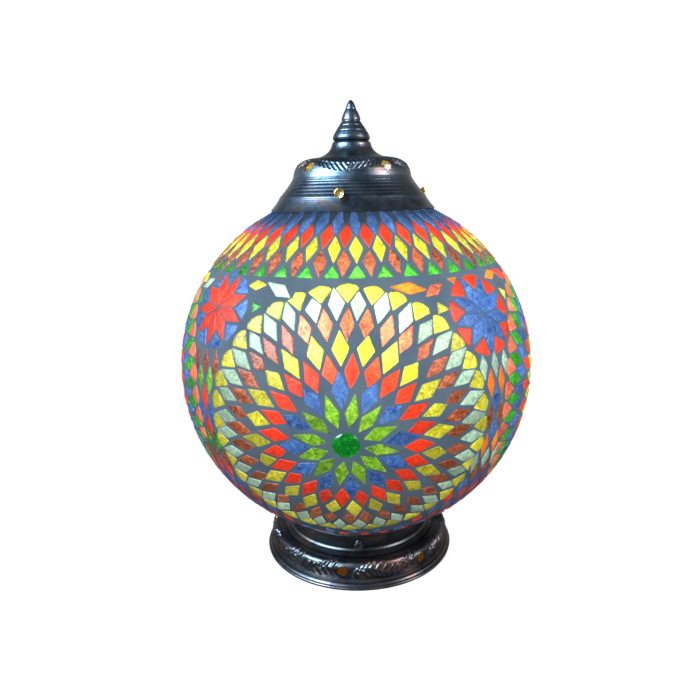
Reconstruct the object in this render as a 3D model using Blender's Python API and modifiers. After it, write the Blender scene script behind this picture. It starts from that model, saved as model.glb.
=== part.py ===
"""Mosaic glass table lamp: a tiled glass globe between a pressed metal foot and a pressed metal cap.

The lamp stands on Z = 0 with its axis on Z and its front towards -Y. Outlines are in millimetres.
Every azimuth is counted in degrees from the front (-Y) towards +X.
"""
import math

import bmesh
import bpy
from mathutils import Matrix
from mathutils import Vector

MM = 0.001
GAP = 0.3                      # clearance left between pieces that touch

# Driving dimensions, in millimetres
LAMP_HEIGHT = 390.0
GLOBE_RADIUS = 150.0           # outside of the tiles, level with the centre
GLOBE_SQUASH = 0.98            # the blown globe is a little flatter than a sphere
GLOBE_CENTRE_Z = 172.6
SKIN_THICKNESS = 3.3           # tiles and grout
GLASS_WALL = 3.0
GLASS_INSET = 3.8              # glass outside, below the outside of the tiles
SKIN_TOP_RADIUS = 52.0
SKIN_BOTTOM_RADIUS = 61.0
TOP_NECK_RADIUS = 47.0
TOP_NECK_Z = 323.0
BOTTOM_NECK_RADIUS = 57.0
BOTTOM_NECK_Z = 22.6

MEDALLION_COUNT = 4
MEDALLION_AZIMUTH = -2.9
MEDALLION_LATITUDE = -6.7
GEM_RADIUS = 9.5
GEM_HEIGHT = 5.0

FOOT_RADIUS = 85.6
FOOT_TOP_Z = 20.3
FOOT_WALL = 1.2
FOOT_HOLE_COUNT = 7
FOOT_HOLE_AZIMUTH = -10.3
FOOT_HOLE_Z = 14.5
FOOT_HOLE_RADIUS = 4.2
GALLERY_RADIUS = 63.6
GALLERY_TOP_Z = 38.2
GALLERY_WALL = 1.0
CAP_WALL = 1.0
CAP_RIM_RADIUS = 68.0
CAP_RIM_Z = 305.0
CAP_TOP_Z = 358.0

STAR_AZIMUTHS = (-45.2, 35.6, 134.8, -144.4)
STAR_RADIUS = 5.9
STAR_POINTS = 8
STAR_SEAT = (45.0, 338.0)      # radius and height of the star holes' centres

SCREW_COUNT = 3
SCREW_RADIUS = 2.0             # M4
SCREW_HOLE_RADIUS = 2.35
CAP_SCREW_AZIMUTH = -8.4
CAP_SCREW_Z = 317.6
GALLERY_SCREW_AZIMUTH = -0.5
GALLERY_SCREW_Z = 31.7

CORD_AZIMUTH = 180.0
CORD_Z = 13.0
CORD_BORE_RADIUS = 3.2
TUBE_RADIUS = 5.0              # M10 lamp tube
TUBE_BORE_RADIUS = 3.6
BULB_CENTRE_Z = 205.0
BULB_RADIUS = 30.0

ROUND = 32                     # sides of the large turned pieces
MID_ROUND = 20                 # sides of the lampholder, bulb, finial and gems
SMALL_ROUND = 12               # sides of the small ones


# Scene and materials

def clear_scene():
    for leftover in list(bpy.data.objects):
        bpy.data.objects.remove(leftover, do_unlink=True)


def new_collection(name):
    collection = bpy.data.collections.new(name)
    bpy.context.scene.collection.children.link(collection)
    return collection


def new_material(name, colour, roughness, metallic=0.0, alpha=1.0):
    material = bpy.data.materials.new(name)
    material.use_nodes = True
    shader = material.node_tree.nodes["Principled BSDF"]
    shader.inputs["Base Color"].default_value = (*colour, 1.0)
    shader.inputs["Roughness"].default_value = roughness
    shader.inputs["Metallic"].default_value = metallic
    shader.inputs["Alpha"].default_value = alpha
    material.diffuse_color = (*colour, alpha)
    return material


clear_scene()
LAMP = new_collection("mosaic_table_lamp")
CUTTERS = new_collection("cutters")

DARK_METAL = new_material("antique dark metal", (0.09, 0.10, 0.12), 0.35, 0.9)
BRASS = new_material("brass", (0.72, 0.52, 0.18), 0.25, 1.0)
STEEL = new_material("zinc plated steel", (0.62, 0.63, 0.65), 0.35, 1.0)
CLEAR_GLASS = new_material("clear glass", (0.85, 0.90, 0.90), 0.05, 0.0, 0.35)
MOSAIC = new_material("tiles in grout", (0.45, 0.50, 0.60), 0.45)
GREEN_GLASS = new_material("green glass", (0.01, 0.25, 0.05), 0.08)
FELT = new_material("felt", (0.03, 0.03, 0.035), 0.95)
BOARD = new_material("fibre board", (0.12, 0.10, 0.08), 0.8)
RUBBER = new_material("black rubber", (0.02, 0.02, 0.02), 0.7)
BLACK_PLASTIC = new_material("black plastic", (0.03, 0.03, 0.03), 0.4)
WHITE_PLASTIC = new_material("white plastic", (0.85, 0.85, 0.84), 0.4)
OPAL = new_material("opal plastic", (0.95, 0.94, 0.90), 0.35)
CERAMIC = new_material("ceramic", (0.88, 0.86, 0.80), 0.5)
ALUMINIUM = new_material("aluminium", (0.75, 0.76, 0.78), 0.35, 1.0)


# Placing

def outward(azimuth, rise=0.0):
    """Unit vector that leaves the lamp's axis at an azimuth, tilted up by rise degrees."""
    turn = math.radians(azimuth)
    tilt = math.radians(rise)
    level = math.cos(tilt)
    return Vector((math.sin(turn) * level, -math.cos(turn) * level, math.sin(tilt)))


def spaced(first, count):
    """Azimuths of a ring of evenly spaced features."""
    return [first + 360.0 * index / count for index in range(count)]


def aimed(origin, axis):
    """Matrix that puts local Z along axis at an origin in millimetres."""
    return Matrix.Translation(origin * MM) @ axis.to_track_quat("Z", "Y").to_matrix().to_4x4()


def axis_empty(name, origin, axis):
    """Empty on a joint's axis, with local Z along it, that the pieces of the joint hang from."""
    empty = bpy.data.objects.new(name, None)
    empty.empty_display_size = 0.01
    LAMP.objects.link(empty)
    empty.matrix_world = aimed(origin, axis)
    return empty


# Outlines

def curve_points(start, pull, end, steps):
    """Points along a quadratic Bezier curve, without its last point."""
    points = []
    for index in range(steps):
        t = index / steps
        weights = ((1 - t) ** 2, 2 * t * (1 - t), t ** 2)
        points.append(tuple(
            sum(weight * point[axis] for weight, point in zip(weights, (start, pull, end)))
            for axis in (0, 1)))
    return points


def arc_points(centre, radius, start, end, steps):
    """Points along an arc, both ends included, with angles in degrees from +r towards +z."""
    angles = [math.radians(start + (end - start) * index / steps) for index in range(steps + 1)]
    return [(centre[0] + radius * math.cos(a), centre[1] + radius * math.sin(a)) for a in angles]


def globe_height(radius, inset, side):
    """Height of the globe's surface at a radius; side is 1 on the top half and -1 on the bottom."""
    level = GLOBE_RADIUS - inset
    upright = GLOBE_RADIUS * GLOBE_SQUASH - inset
    return GLOBE_CENTRE_Z + side * upright * math.sqrt(1 - (radius / level) ** 2)


def globe_points(inset, steps=15):
    """The globe's outline between the tiles' two edges, top to bottom."""
    start = math.asin(SKIN_TOP_RADIUS / GLOBE_RADIUS)
    end = math.pi - math.asin(SKIN_BOTTOM_RADIUS / GLOBE_RADIUS)
    level = GLOBE_RADIUS - inset
    upright = GLOBE_RADIUS * GLOBE_SQUASH - inset
    polar = [start + (end - start) * index / steps for index in range(steps + 1)]
    return [(level * math.sin(a), GLOBE_CENTRE_Z + upright * math.cos(a)) for a in polar]


# Solids

def link(name, data, material, parent=None):
    piece = bpy.data.objects.new(name, data)
    piece.data.materials.append(material)
    piece.parent = parent
    LAMP.objects.link(piece)
    return piece


def turned(name, profile, material, sides=ROUND, wall=0.0, ring=False, parent=None):
    """Turn a profile of (radius, height) points about Z.

    The profile runs down the outer side. It starts and ends on the axis for a solid piece, is closed
    for a ring, and is an open line that gets a wall on its inner side for a shell.
    """
    mesh = bpy.data.meshes.new(name)
    count = len(profile)
    edges = [(index, index + 1) for index in range(count - 1)]
    if ring:
        edges.append((count - 1, 0))
    mesh.from_pydata([(radius * MM, 0.0, height * MM) for radius, height in profile], edges, [])
    piece = link(name, mesh, material, parent)
    screw = piece.modifiers.new("turn", "SCREW")
    screw.steps = sides
    screw.render_steps = sides
    screw.use_merge_vertices = True
    screw.merge_threshold = 0.00005
    screw.use_smooth_shade = True
    if wall:
        solidify = piece.modifiers.new("wall", "SOLIDIFY")
        solidify.thickness = wall * MM
        solidify.offset = -1.0
        solidify.use_even_offset = True
        solidify.use_quality_normals = True
    return piece


def rod(name, radius, low, high, material, parent=None, sides=SMALL_ROUND):
    """A solid round bar or disc along Z."""
    profile = [(0, high), (radius, high), (radius, low), (0, low)]
    return turned(name, profile, material, sides=sides, parent=parent)


def sleeve(name, outer, inner, low, high, material, parent=None, sides=SMALL_ROUND):
    """A plain ring or tube along Z."""
    profile = [(inner, high), (outer, high), (outer, low), (inner, low)]
    return turned(name, profile, material, sides=sides, ring=True, parent=parent)


def circle_outline(radius, count, phase=0.0):
    turn = 2 * math.pi / count
    return [(radius * math.cos(turn * i + phase), radius * math.sin(turn * i + phase)) for i in range(count)]


def hex_nut(name, across_flats, bore, low, high, material, parent=None):
    """A hexagon nut, cut from a flat outline with a round hole."""
    curve = bpy.data.curves.new(name, "CURVE")
    curve.dimensions = "2D"
    curve.fill_mode = "BOTH"
    curve.extrude = (high - low) / 2 * MM
    corner = across_flats / 2 / math.cos(math.pi / 6)
    for outline in (circle_outline(corner, 6), circle_outline(bore, SMALL_ROUND)):
        spline = curve.splines.new("POLY")
        spline.points.add(len(outline) - 1)
        for point, (x, y) in zip(spline.points, outline):
            point.co = (x * MM, y * MM, 0.0, 1.0)
        spline.use_cyclic_u = True
    nut = link(name, curve, material, parent)
    nut.location.z = (high + low) / 2 * MM
    return nut


def cutter(name, outlines_and_matrices, length):
    """One cutter made of separate prisms, each an outline drawn about a matrix's Z axis."""
    tool = bmesh.new()
    for outline, matrix in outlines_and_matrices:
        start = [tool.verts.new((x * MM, y * MM, -length / 2 * MM)) for x, y in outline]
        face = tool.faces.new(start)
        face.normal_flip()
        grown = bmesh.ops.extrude_face_region(tool, geom=[face], use_keep_orig=True)
        end = [item for item in grown["geom"] if isinstance(item, bmesh.types.BMVert)]
        bmesh.ops.translate(tool, verts=end, vec=(0, 0, length * MM))
        bmesh.ops.transform(tool, matrix=matrix, verts=start + end)
    bmesh.ops.recalc_face_normals(tool, faces=tool.faces)
    mesh = bpy.data.meshes.new(name)
    tool.to_mesh(mesh)
    tool.free()
    shape = bpy.data.objects.new(name, mesh)
    CUTTERS.objects.link(shape)
    shape.hide_render = True
    shape.display_type = "WIRE"
    return shape


def cut(piece, tool):
    boolean = piece.modifiers.new(tool.name, "BOOLEAN")
    boolean.operation = "DIFFERENCE"
    boolean.solver = "EXACT"
    boolean.object = tool


def round_holes(name, radius, azimuths, seat_radius, height, length):
    """Cutter for a ring of level holes through a wall."""
    outline = circle_outline(radius, SMALL_ROUND)
    places = [aimed(outward(a) * seat_radius + Vector((0, 0, height)), outward(a)) for a in azimuths]
    return cutter(name, [(outline, place) for place in places], length)


# Foot: the pressed shell, its cover, and the gallery that holds the globe

def foot_profile():
    ovolo = curve_points((74.6, 22.0), (81.6, 21.8), (80.3, 13.0), 4)
    lower = curve_points((80.3, 13.0), (79.9, 9.2), (78.6, 7.0), 2)
    bead = [(78.6, 7.0), (80.6, 6.0), (81.0, 4.8), (82.9, 4.2), (83.6, 3.0), (85.2, 2.2)]
    rim = [(FOOT_RADIUS, 1.3), (FOOT_RADIUS - 0.2, GAP)]
    return [(TUBE_RADIUS + 0.6, FOOT_TOP_Z), (69.0, FOOT_TOP_Z), (72.2, 20.8)] + ovolo + lower + bead + rim


def make_foot():
    turned("felt_pad", [(0, 1.2), (83.0, 1.2), (83.0, 0), (0, 0)], FELT)
    turned("bottom_cover", [(0, 3.3), (80.6, 3.3), (80.6, 1.5), (0, 1.5)], BOARD)
    shell = turned("foot_shell", foot_profile(), DARK_METAL, wall=FOOT_WALL)
    azimuths = spaced(FOOT_HOLE_AZIMUTH, FOOT_HOLE_COUNT)
    cut(shell, round_holes("foot_holes", FOOT_HOLE_RADIUS, azimuths, 79.0, FOOT_HOLE_Z, 14.0))
    neck_hole = CORD_BORE_RADIUS + 1.3
    cut(shell, round_holes("cord_hole", neck_hole, [CORD_AZIMUTH], 79.0, CORD_Z, 14.0))


def make_cord_grommet():
    """Rubber bush in the cord's hole: a flange on each side of the wall and a clear bore."""
    axis = outward(CORD_AZIMUTH)
    seat = axis_empty("cord_axis", Vector((0, 0, CORD_Z)), axis)
    neck = CORD_BORE_RADIUS + 1.0
    flange = CORD_BORE_RADIUS + 2.3
    outer, wall_out, wall_in, inner = 82.3, 80.7, 76.9, 75.5
    profile = [(CORD_BORE_RADIUS, outer), (flange - 0.6, outer), (flange, outer - 0.5), (flange, wall_out),
               (neck, wall_out), (neck, wall_in), (flange, wall_in), (flange, inner), (CORD_BORE_RADIUS, inner)]
    turned("cord_grommet", profile, RUBBER, sides=SMALL_ROUND, ring=True, parent=seat)


def make_gallery():
    """Cup on top of the foot that the globe's lower neck stands in."""
    floor = FOOT_TOP_Z + GAP
    profile = [(GALLERY_RADIUS, GALLERY_TOP_Z), (GALLERY_RADIUS + 0.7, GALLERY_TOP_Z - 0.7),
               (GALLERY_RADIUS + 0.1, GALLERY_TOP_Z - 1.6), (GALLERY_RADIUS, 25.5), (64.8, 23.9),
               (66.8, 23.0), (66.7, 22.3), (68.2, 21.6), (67.6, floor), (TUBE_RADIUS + 0.6, floor)]
    gallery = turned("fitter_gallery", profile, DARK_METAL, wall=GALLERY_WALL)
    azimuths = spaced(GALLERY_SCREW_AZIMUTH, SCREW_COUNT)
    holes = round_holes("gallery_screw_holes", SCREW_HOLE_RADIUS, azimuths, 63.0, GALLERY_SCREW_Z, 8.0)
    cut(gallery, holes)


# Stem: the tube through foot and gallery, its nuts, and the lampholder on top

def make_stem():
    sleeve("riser_tube", TUBE_RADIUS, TUBE_BORE_RADIUS, 9.0, 100.0, STEEL)
    hole = TUBE_RADIUS + GAP
    sleeve("lower_washer", 11.0, hole, 17.5, 18.8, STEEL, sides=MID_ROUND)
    hex_nut("lower_lock_nut", 17.0, hole, 12.8, 17.2, STEEL)
    sleeve("upper_washer", 11.0, hole, 21.9, 23.2, STEEL, sides=MID_ROUND)
    hex_nut("upper_lock_nut", 17.0, hole, 23.5, 28.0, STEEL)
    sleeve("riser_sleeve", 8.0, 5.6, 28.3, 94.7, BRASS)


def make_lampholder():
    hole = TUBE_RADIUS + GAP
    cup = [(19.6, 108.0), (19.3, 104.5), (15.5, 98.6), (9.5, 95.5), (hole, 95.0)]
    turned("lampholder_cap", cup, BLACK_PLASTIC, sides=MID_ROUND, wall=1.4)
    body = [(20.6, 140.5), (20.6, 137.6), (19.8, 136.8), (19.8, 108.3)]
    turned("lampholder_body", body, BLACK_PLASTIC, sides=MID_ROUND, wall=1.4)
    rod("lampholder_core", 17.8, 108.8, 113.8, CERAMIC, sides=MID_ROUND)
    sleeve("lampholder_screw_shell", 14.8, 14.1, 114.1, 137.5, BRASS, sides=MID_ROUND)
    turned("lampholder_contact", [(0, 116.7), (3.4, 116.2), (5.0, 114.1), (0, 114.1)], BRASS, sides=SMALL_ROUND)
    for index, side in enumerate((-1, 1), start=1):
        terminal = rod(f"terminal_screw_{index}", 2.4, 104.6, 108.4, BRASS, sides=SMALL_ROUND)
        terminal.location.x = side * 10.0 * MM


# Bulb: it turns and climbs together with its thread

def make_bulb():
    turned("bulb_contact", [(0, 119.3), (5.4, 119.3), (5.4, 118.2), (2.5, 117.0), (0, 117.0)], STEEL,
           sides=SMALL_ROUND)
    turned("bulb_insulator", [(0, 124.0), (12.2, 124.0), (6.2, 119.6), (0, 119.6)], BLACK_PLASTIC,
           sides=MID_ROUND)
    sleeve("bulb_screw_cap", 13.3, 12.5, 124.3, 146.4, STEEL, sides=MID_ROUND)
    stem = [(21.6, 178.6), (20.6, 170.0), (16.0, 152.0), (14.6, 146.7)]
    turned("bulb_body", stem, WHITE_PLASTIC, sides=MID_ROUND, wall=1.5)
    rod("bulb_led_board", 20.6, 178.9, 180.3, ALUMINIUM, sides=MID_ROUND)
    make_bulb_driver()
    lowest = math.degrees(math.asin(-0.695))
    envelope = arc_points((0, BULB_CENTRE_Z), BULB_RADIUS, 90, lowest, 7)
    envelope[0] = (0, BULB_CENTRE_Z + BULB_RADIUS)
    turned("bulb_diffuser", envelope + [(21.6, 180.7)], OPAL, sides=MID_ROUND, wall=1.2)


def make_bulb_driver():
    """Circuit board on end inside the bulb's body."""
    width, thickness, low, high = 17.0, 1.6, 127.0, 164.0
    board = bmesh.new()
    size = Matrix.Diagonal((width * MM, thickness * MM, (high - low) * MM, 1.0))
    bmesh.ops.create_cube(board, size=1.0, matrix=Matrix.Translation((0, 0, (low + high) / 2 * MM)) @ size)
    mesh = bpy.data.meshes.new("bulb_driver")
    board.to_mesh(mesh)
    board.free()
    link("bulb_driver", mesh, BOARD)


# Globe: blown glass, the tiles and grout on it, and a glass gem at the middle of each medallion

def medallion_axes():
    """Where each medallion's middle lies on the outside of the tiles, and its outward normal."""
    upright = GLOBE_RADIUS * GLOBE_SQUASH
    places = []
    for azimuth in spaced(MEDALLION_AZIMUTH, MEDALLION_COUNT):
        ray = outward(azimuth, MEDALLION_LATITUDE)
        surface = Vector((ray.x * GLOBE_RADIUS, ray.y * GLOBE_RADIUS, ray.z * upright))
        normal = Vector((ray.x / GLOBE_RADIUS, ray.y / GLOBE_RADIUS, ray.z / upright)).normalized()
        places.append((surface + Vector((0, 0, GLOBE_CENTRE_Z)), normal))
    return places


def make_globe():
    top_edge = (TOP_NECK_RADIUS, globe_height(TOP_NECK_RADIUS, GLASS_INSET, 1))
    bottom_edge = (BOTTOM_NECK_RADIUS, globe_height(BOTTOM_NECK_RADIUS, GLASS_INSET, -1))
    glass = [(TOP_NECK_RADIUS, TOP_NECK_Z), top_edge] + globe_points(GLASS_INSET)
    glass += [bottom_edge, (BOTTOM_NECK_RADIUS, BOTTOM_NECK_Z)]
    turned("globe_glass", glass, CLEAR_GLASS, wall=GLASS_WALL)
    skin = turned("mosaic_skin", globe_points(0.0), MOSAIC, wall=SKIN_THICKNESS)
    seats = [aimed(surface, normal) for surface, normal in medallion_axes()]
    hole = circle_outline(GEM_RADIUS + 0.5, MID_ROUND)
    cut(skin, cutter("gem_seats", [(hole, seat) for seat in seats], 16.0))


def make_gems():
    """Cabochons set in the skin, standing on the glass and a little proud of the tiles."""
    back = GAP - GLASS_INSET
    front = back + GEM_HEIGHT
    girdle = back + 1.6
    dome = curve_points((0, front), (GEM_RADIUS * 0.8, front), (GEM_RADIUS, girdle), 5)
    profile = dome + [(GEM_RADIUS, girdle), (GEM_RADIUS, back), (0, back)]
    for index, (surface, normal) in enumerate(medallion_axes(), start=1):
        seat = axis_empty(f"gem_axis_{index}", surface, normal)
        turned(f"medallion_gem_{index}", profile, GREEN_GLASS, sides=MID_ROUND, parent=seat)


# Cap: the pressed shell with its star holes, and the turned finial screwed on top

def cap_profile():
    flare = curve_points((15.9, 356.8), (17.0, 348.6), (29.0, 345.6), 3)
    dome = curve_points((29.0, 345.6), (47.0, 345.4), (48.5, 330.8), 4)
    band = curve_points((49.6, 328.6), (53.5, 322.6), (60.0, 315.6), 2)
    skirt = curve_points((60.0, 315.6), (62.6, 310.4), (CAP_RIM_RADIUS, CAP_RIM_Z), 2)
    top = [(TUBE_BORE_RADIUS, CAP_TOP_Z), (14.8, CAP_TOP_Z)]
    return top + flare + dome + [(48.5, 330.8)] + band + skirt + [(CAP_RIM_RADIUS, CAP_RIM_Z)]


def star_outline():
    points = circle_outline(1.0, 2 * STAR_POINTS)
    return [(x * reach, y * reach)
            for (x, y), reach in zip(points, (STAR_RADIUS, STAR_RADIUS * 0.66) * STAR_POINTS)]


def make_cap():
    shell = turned("cap_shell", cap_profile(), DARK_METAL, wall=CAP_WALL)
    radius, height = STAR_SEAT
    stars = []
    for azimuth in STAR_AZIMUTHS:
        seat = outward(azimuth) * radius + Vector((0, 0, height))
        stars.append((star_outline(), aimed(seat, outward(azimuth, 38.0))))
    cut(shell, cutter("star_holes", stars, 16.0))
    azimuths = spaced(CAP_SCREW_AZIMUTH, SCREW_COUNT)
    cut(shell, round_holes("cap_screw_holes", SCREW_HOLE_RADIUS, azimuths, 57.0, CAP_SCREW_Z, 16.0))


def make_finial():
    """A stack of shrinking beads that ends in a point, with a blind hole for its stud."""
    bottom = CAP_TOP_Z + GAP
    hole = SCREW_RADIUS + 0.5
    lower_bead = [(14.6, 362.9), (15.2, 361.2), (14.8, 359.6), (13.6, bottom)]
    middle = curve_points((7.6, 373.6), (10.8, 369.6), (14.0, 364.2), 3)
    neck = curve_points((4.6, 382.6), (6.8, 379.0), (7.9, 375.0), 3)
    tip = curve_points((0, LAMP_HEIGHT), (2.6, LAMP_HEIGHT - 0.6), (4.2, 383.6), 3)
    socket = [(hole, bottom), (hole, 366.0), (0, 366.0)]
    turned("finial", tip + neck + middle + lower_bead + socket, DARK_METAL, sides=MID_ROUND)
    rod("finial_stud", SCREW_RADIUS, 347.5, 365.7, STEEL)
    sleeve("finial_washer", 6.5, SCREW_RADIUS + GAP, 355.5, 356.6, STEEL)
    hex_nut("finial_nut", 8.0, SCREW_RADIUS + GAP, 351.6, 355.2, STEEL)


# Thumb screws that hold the cap on the upper neck and the globe in the gallery

def make_thumb_screws(prefix, first_azimuth, height, neck_radius, nut_seat, head_seat, head_material):
    """Screws on level axes, each a stud with a knurled head and a nut inside the wall."""
    tip = neck_radius + GAP
    for index, azimuth in enumerate(spaced(first_azimuth, SCREW_COUNT), start=1):
        axis = axis_empty(f"{prefix}_axis_{index}", Vector((0, 0, height)), outward(azimuth))
        rod(f"{prefix}_stud_{index}", SCREW_RADIUS, tip, head_seat - GAP, STEEL, parent=axis, sides=SMALL_ROUND)
        hex_nut(f"{prefix}_nut_{index}", 7.0, SCREW_HOLE_RADIUS, nut_seat - 2.8, nut_seat, STEEL, parent=axis)
        front = head_seat + 6.0
        head = [(0, front), (3.1, front), (3.8, front - 0.8), (3.8, head_seat + 1.6), (2.8, head_seat + 1.2),
                (2.8, head_seat), (0, head_seat)]
        turned(f"{prefix}_head_{index}", head, head_material, sides=SMALL_ROUND, parent=axis)


make_foot()
make_cord_grommet()
make_gallery()
make_stem()
make_lampholder()
make_bulb()
make_globe()
make_gems()
make_cap()
make_finial()
make_thumb_screws("cap_screw", CAP_SCREW_AZIMUTH, CAP_SCREW_Z, TOP_NECK_RADIUS, 53.0, 61.2, BRASS)
make_thumb_screws("gallery_screw", GALLERY_SCREW_AZIMUTH, GALLERY_SCREW_Z, BOTTOM_NECK_RADIUS, 62.2, 64.6,
                  DARK_METAL)
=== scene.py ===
"""Looks of the mosaic glass table lamp: every glass tile, the grout web between them, and the metalwork."""
import math
import random

import bmesh
import bpy
from mathutils import Matrix
from mathutils import Vector
from mathutils import geometry
from mathutils import noise


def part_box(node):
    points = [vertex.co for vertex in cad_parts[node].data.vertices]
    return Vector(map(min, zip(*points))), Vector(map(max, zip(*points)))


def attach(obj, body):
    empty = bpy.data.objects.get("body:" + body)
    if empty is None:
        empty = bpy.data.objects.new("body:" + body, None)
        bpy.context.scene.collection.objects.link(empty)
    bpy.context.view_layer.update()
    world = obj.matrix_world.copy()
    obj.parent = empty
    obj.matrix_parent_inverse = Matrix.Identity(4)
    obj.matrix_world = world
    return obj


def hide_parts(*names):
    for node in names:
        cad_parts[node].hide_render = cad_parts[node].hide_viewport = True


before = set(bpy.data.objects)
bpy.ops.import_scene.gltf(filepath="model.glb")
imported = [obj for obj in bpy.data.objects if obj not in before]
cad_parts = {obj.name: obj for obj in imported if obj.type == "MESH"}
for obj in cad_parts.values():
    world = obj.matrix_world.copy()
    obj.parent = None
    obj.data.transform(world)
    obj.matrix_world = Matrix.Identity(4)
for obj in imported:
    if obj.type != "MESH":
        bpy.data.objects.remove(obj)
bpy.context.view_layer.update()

MM = 0.001

# The globe, read from the frame (metres)
SKIN_LOW, SKIN_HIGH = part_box("mosaic_skin")
GLOBE_RADIUS = (SKIN_HIGH.x - SKIN_LOW.x) / 2
GLOBE_SQUASH = 0.98
GLOBE_UPRIGHT = GLOBE_RADIUS * GLOBE_SQUASH
SKIN_TOP_RADIUS = 52 * MM
SKIN_BOTTOM_RADIUS = 61 * MM
TOP_LATITUDE = math.degrees(math.acos(SKIN_TOP_RADIUS / GLOBE_RADIUS))
BOTTOM_LATITUDE = -math.degrees(math.acos(SKIN_BOTTOM_RADIUS / GLOBE_RADIUS))
GLOBE_CENTRE = Vector((0, 0, SKIN_HIGH.z - GLOBE_UPRIGHT * math.sin(math.radians(TOP_LATITUDE))))

# Levels below the outside of the mosaic (metres)
TILE_LEVEL = 0.50 * MM
GROUT_LEVEL = 0.95 * MM
TILE_FOOT = 2.9 * MM
GROUT_FOOT = 3.15 * MM
GROUT_GRAIN = 0.10 * MM

# Layout of the mosaic (degrees)
MEDALLION_AZIMUTH = -2.9
MEDALLION_LATITUDE = -6.7
GEM_GROUT = 3.70               # radius of the grout's hole round a gem
ROSETTE_REACH = 12.0           # rings that end nearer than this belong to a rosette
HAND_SHAKE = 0.12              # how far a corner strays from its drawn place
BAND_PITCH = 9.0
RIM_STEPS = 160                # corners of the mosaic's round rims
GEM_STEPS = 40                 # corners of the grout's hole round a gem
BAND_AZIMUTH = 1.3
ROSETTE_LATITUDES = (24.7, 27.3)
TILE_FILL = 1.03               # the tiles are cut to fill their places
GROUT_LEAST = 0.06             # grout wanted round a tile, as a share of its size
CUT_ROUNDS = 40                # most rounds of cutting back corners that meet a neighbour
CUT_SHARE = 0.05               # how far towards its tile's middle a corner is cut back in a round


# Directions on the globe

def direction(azimuth, latitude):
    """Unit vector at an azimuth, counted from the front towards +X, and a latitude, in degrees."""
    turn, tilt = math.radians(azimuth), math.radians(latitude)
    return Vector((math.sin(turn) * math.cos(tilt), -math.cos(turn) * math.cos(tilt), math.sin(tilt)))


def place(ray, inset=0.0):
    """Point of the globe along a direction, inset metres below the outside of the mosaic."""
    level = GLOBE_RADIUS - inset
    upright = GLOBE_UPRIGHT - inset
    return GLOBE_CENTRE + Vector((ray.x * level, ray.y * level, ray.z * upright))


def normal_at(ray):
    return Vector((ray.x, ray.y, ray.z / GLOBE_SQUASH)).normalized()


def east_north(ray):
    east = Vector((0, 0, 1)).cross(ray).normalized()
    return east, ray.cross(east)


def step_from(centre, distance, heading):
    """Direction at an angular distance from a centre, with its heading clockwise from up, in degrees."""
    east, north = east_north(centre)
    reach, turn = math.radians(distance), math.radians(heading)
    across = east * math.sin(turn) + north * math.cos(turn)
    return centre * math.cos(reach) + across * math.sin(reach)


# Tiles: each is a list of corner directions and the name of its glass

class Layout:
    """Collects the tiles of the mosaic as lists of corner directions, with a little hand-set unevenness."""

    def __init__(self, seed):
        self.tiles = []
        self.chance = random.Random(seed)

    def wobble(self, amount):
        return self.chance.uniform(-amount, amount)

    def add(self, glass, corners):
        middle = sum(corners, Vector()) / len(corners)
        shaken = []
        for corner in corners:
            east, north = east_north(corner)
            shift = (east * math.radians(self.wobble(HAND_SHAKE))
                     + north * math.radians(self.wobble(HAND_SHAKE)))
            shaken.append((middle.lerp(corner, TILE_FILL) + shift).normalized())
        self.tiles.append((glass, shaken))


def ring_stretch(heading, outer):
    """Medallions, but not rosettes, were laid a little taller above their middle than below it."""
    return 1.0 + 0.042 * math.cos(math.radians(heading)) if outer > ROSETTE_REACH else 1.0


def side_turn(half_width, distance):
    """The change of heading that reaches half_width to the side, at a distance from the centre."""
    return math.degrees(math.asin(math.sin(math.radians(half_width)) / math.sin(math.radians(distance))))


def add_ring(layout, centre, glass, count, first, inner, widest, outer, half_width):
    """A ring of diamonds that point away from the centre."""
    for index in range(count):
        heading = first + 360.0 * index / count + layout.wobble(0.9)
        stretch = ring_stretch(heading, outer)
        shift = layout.wobble(0.2)
        near, middle, far = ((value + shift) * stretch for value in (inner, widest, outer))
        width = half_width * (1 + layout.wobble(0.07))
        side = side_turn(width, middle)
        layout.add(glass, [
            step_from(centre, near, heading),
            step_from(centre, middle, heading + side),
            step_from(centre, far, heading + layout.wobble(0.8)),
            step_from(centre, middle, heading - side)])


def add_border(layout, centre, glass, count, first, inner, outer, half_width):
    """A ring of round-backed triangles with their points towards the centre."""
    for index in range(count):
        heading = first + 360.0 * index / count + layout.wobble(0.5)
        stretch = ring_stretch(heading, outer)
        width = half_width * (1 + layout.wobble(0.05))
        side = side_turn(width, outer)
        corners = [step_from(centre, inner * stretch, heading)]
        for turn, reach in ((1.0, 0.975), (0.62, 0.995), (0.0, 1.006), (-0.62, 0.995), (-1.0, 0.975)):
            corners.append(step_from(centre, outer * reach * stretch, heading + side * turn))
        layout.add(glass, corners)


# The glass of a medallion, from the middle out
FRONT_GLASS = ("lime", "blue", "red", "yellow", "copper", "mint", "yellow")
SIDE_GLASS = ("blue", "mint", "yellow", "red", "blue", "green", "salmon")


# The rings of a medallion: count, first heading, then inner, widest and outer distance, and half-width
MEDALLION_RINGS = ((12, 10.0, 5.1, 8.9, 13.9, 1.85), (12, -5.0, 9.7, 14.6, 19.2, 2.15),
                   (24, 4.6, 15.1, 19.4, 23.8, 2.02), (24, -2.9, 20.6, 24.9, 29.4, 2.10),
                   (36, 0.8, 26.5, 30.8, 35.2, 1.85), (36, -4.2, 31.7, 36.0, 40.3, 1.95))


def add_medallion(layout, centre, glass):
    for name, ring in zip(glass, MEDALLION_RINGS):
        add_ring(layout, centre, name, *ring)
    add_border(layout, centre, glass[-1], 36, 0.8, 36.2, 41.2, 2.85)


def add_rosette(layout, centre, petals, corners, first):
    add_ring(layout, centre, petals, 9, first, 0.9, 6.4, 10.9, 1.95)
    add_border(layout, centre, corners, 9, first + 20, 7.3, 11.7, 3.1)


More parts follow.
